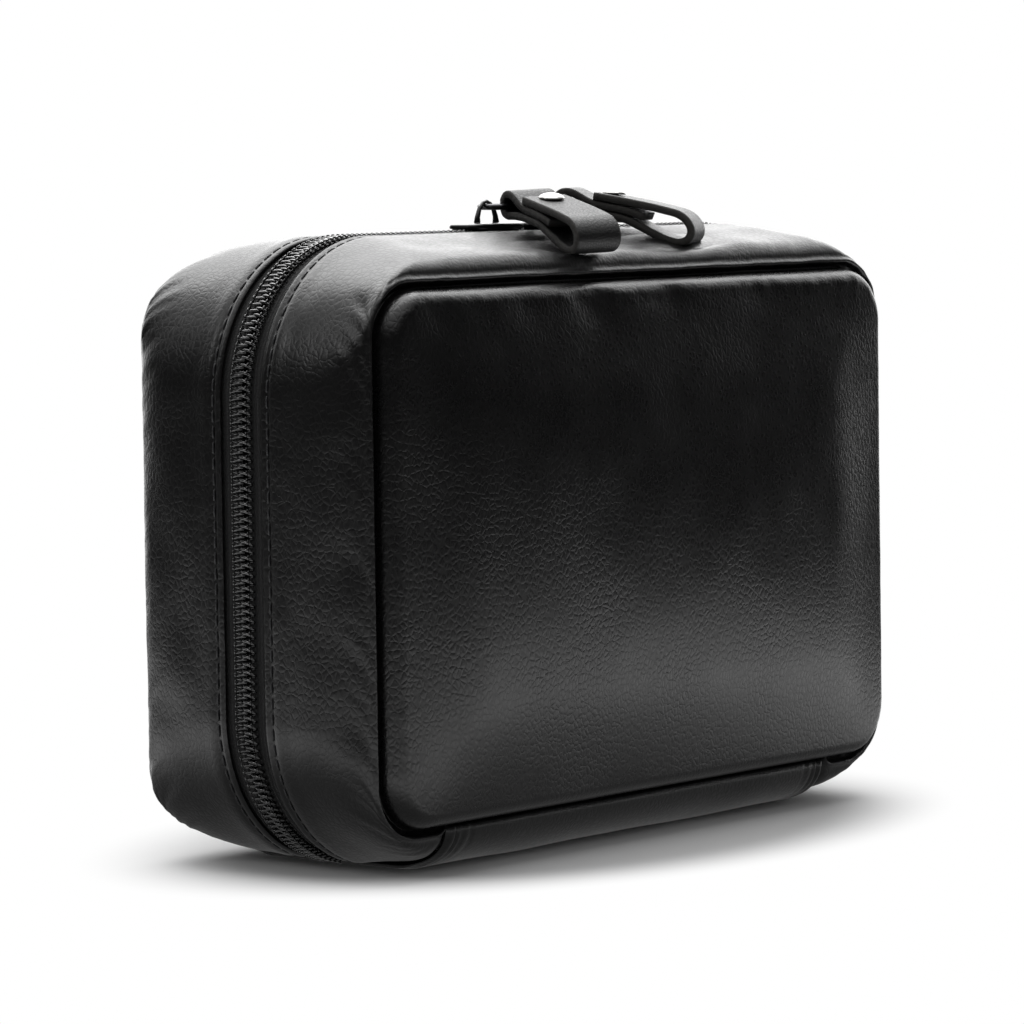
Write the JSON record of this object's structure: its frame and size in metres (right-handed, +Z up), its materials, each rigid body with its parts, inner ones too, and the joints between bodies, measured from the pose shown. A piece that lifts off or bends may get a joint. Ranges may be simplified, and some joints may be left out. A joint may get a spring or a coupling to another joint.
{
  "type": "leather organizer case",
  "caption": "Black leather zip-round organizer case, a padded clamshell that stands on its leather hinge and is opened by zip sliders with riveted strap pulls.",
  "frame": {"origin": "middle of the base, on the surface the closed case stands on", "axes": "+X along the width, -Y out of the front panel, +Z up to the zip along the top"},
  "size_m": [0.2144, 0.081, 0.161],
  "materials": {
    "leather_panel": "black full-grain, fine pebble, soft sheen",
    "leather_wall": "black full-grain, coarser pebble and creases, soft sheen",
    "leather_strap": "black, smooth, with raw fibrous grey edges",
    "leather_trim": "thin black binding, matte",
    "foam": "soft foam, matte",
    "board": "grey-brown fibre board",
    "interlining": "stiff felt, matte",
    "lining_fabric": "black woven lining, low sheen",
    "elastic": "ribbed black elastic, matte",
    "zip_tape": "black woven tape, matte",
    "zip_coil": "glossy black nylon coil",
    "slider_metal": "black satin lacquer",
    "ring_metal": "nickel plated, polished",
    "rivet_metal": "nickel plated, slightly brushed"
  },
  "bodies": {
    "back_half": {"back_panel": "leather_panel", "back_padding": "foam", "back_stiffener": "board", "back_gusset": "leather_wall", "back_interlining": "interlining", "back_base": "leather_wall", "back_lining": "lining_fabric", "back_zip_tape": "zip_tape", "back_zip_coil": "zip_coil", "back_elastic_loops": "elastic"},
    "front_half": {"front_panel": "leather_panel", "front_padding": "foam", "front_stiffener": "board", "front_gusset": "leather_wall", "front_interlining": "interlining", "front_base": "leather_wall", "front_lining": "lining_fabric", "front_zip_tape": "zip_tape", "front_zip_coil": "zip_coil", "front_pocket": "lining_fabric", "front_pocket_binding": "leather_trim"},
    "left_slider": {"left_slider_body": "slider_metal"},
    "left_ring": {"left_pull_ring": "ring_metal"},
    "left_pull": {"left_pull_strap": "leather_strap", "left_pull_rivet": "rivet_metal"},
    "right_slider": {"right_slider_body": "slider_metal"},
    "right_ring": {"right_pull_ring": "ring_metal"},
    "right_pull": {"right_pull_strap": "leather_strap", "right_pull_rivet": "rivet_metal"}
  },
  "joints": [
    {"name": "case_opening", "type": "hinge", "parent": "back_half", "child": "front_half", "pos_m": [0, 0, -0.0002], "axis": [1, 0, 0], "range_deg": [0, 180]},
    {"name": "left_slider_travel", "type": "slide", "parent": "back_half", "child": "left_slider", "axis": [-1, 0, 0], "range_m": [0, 0.043]},
    {"name": "right_slider_travel", "type": "slide", "parent": "back_half", "child": "right_slider", "axis": [1, 0, 0], "range_m": [0, 0.051]},
    {"name": "left_ring_pivot", "type": "hinge", "parent": "left_slider", "child": "left_ring", "pos_m": [-0.0152, 0, 0.156], "axis": [-0.342, -0.9397, 0], "range_deg": [0, 100]},
    {"name": "right_ring_pivot", "type": "hinge", "parent": "right_slider", "child": "right_ring", "pos_m": [0.0072, 0, 0.156], "axis": [0.4067, -0.9136, 0], "range_deg": [0, 100]},
    {"name": "left_strap_pivot", "type": "hinge", "parent": "left_ring", "child": "left_pull", "pos_m": [-0.00747, -0.00728, 0.156], "axis": [-0.9397, 0.342, 0], "range_deg": [0, 120]},
    {"name": "right_strap_pivot", "type": "hinge", "parent": "right_ring", "child": "right_pull", "pos_m": [0.01987, 0.00104, 0.156], "axis": [-0.9136, -0.4067, 0], "range_deg": [0, 120]}
  ]
}
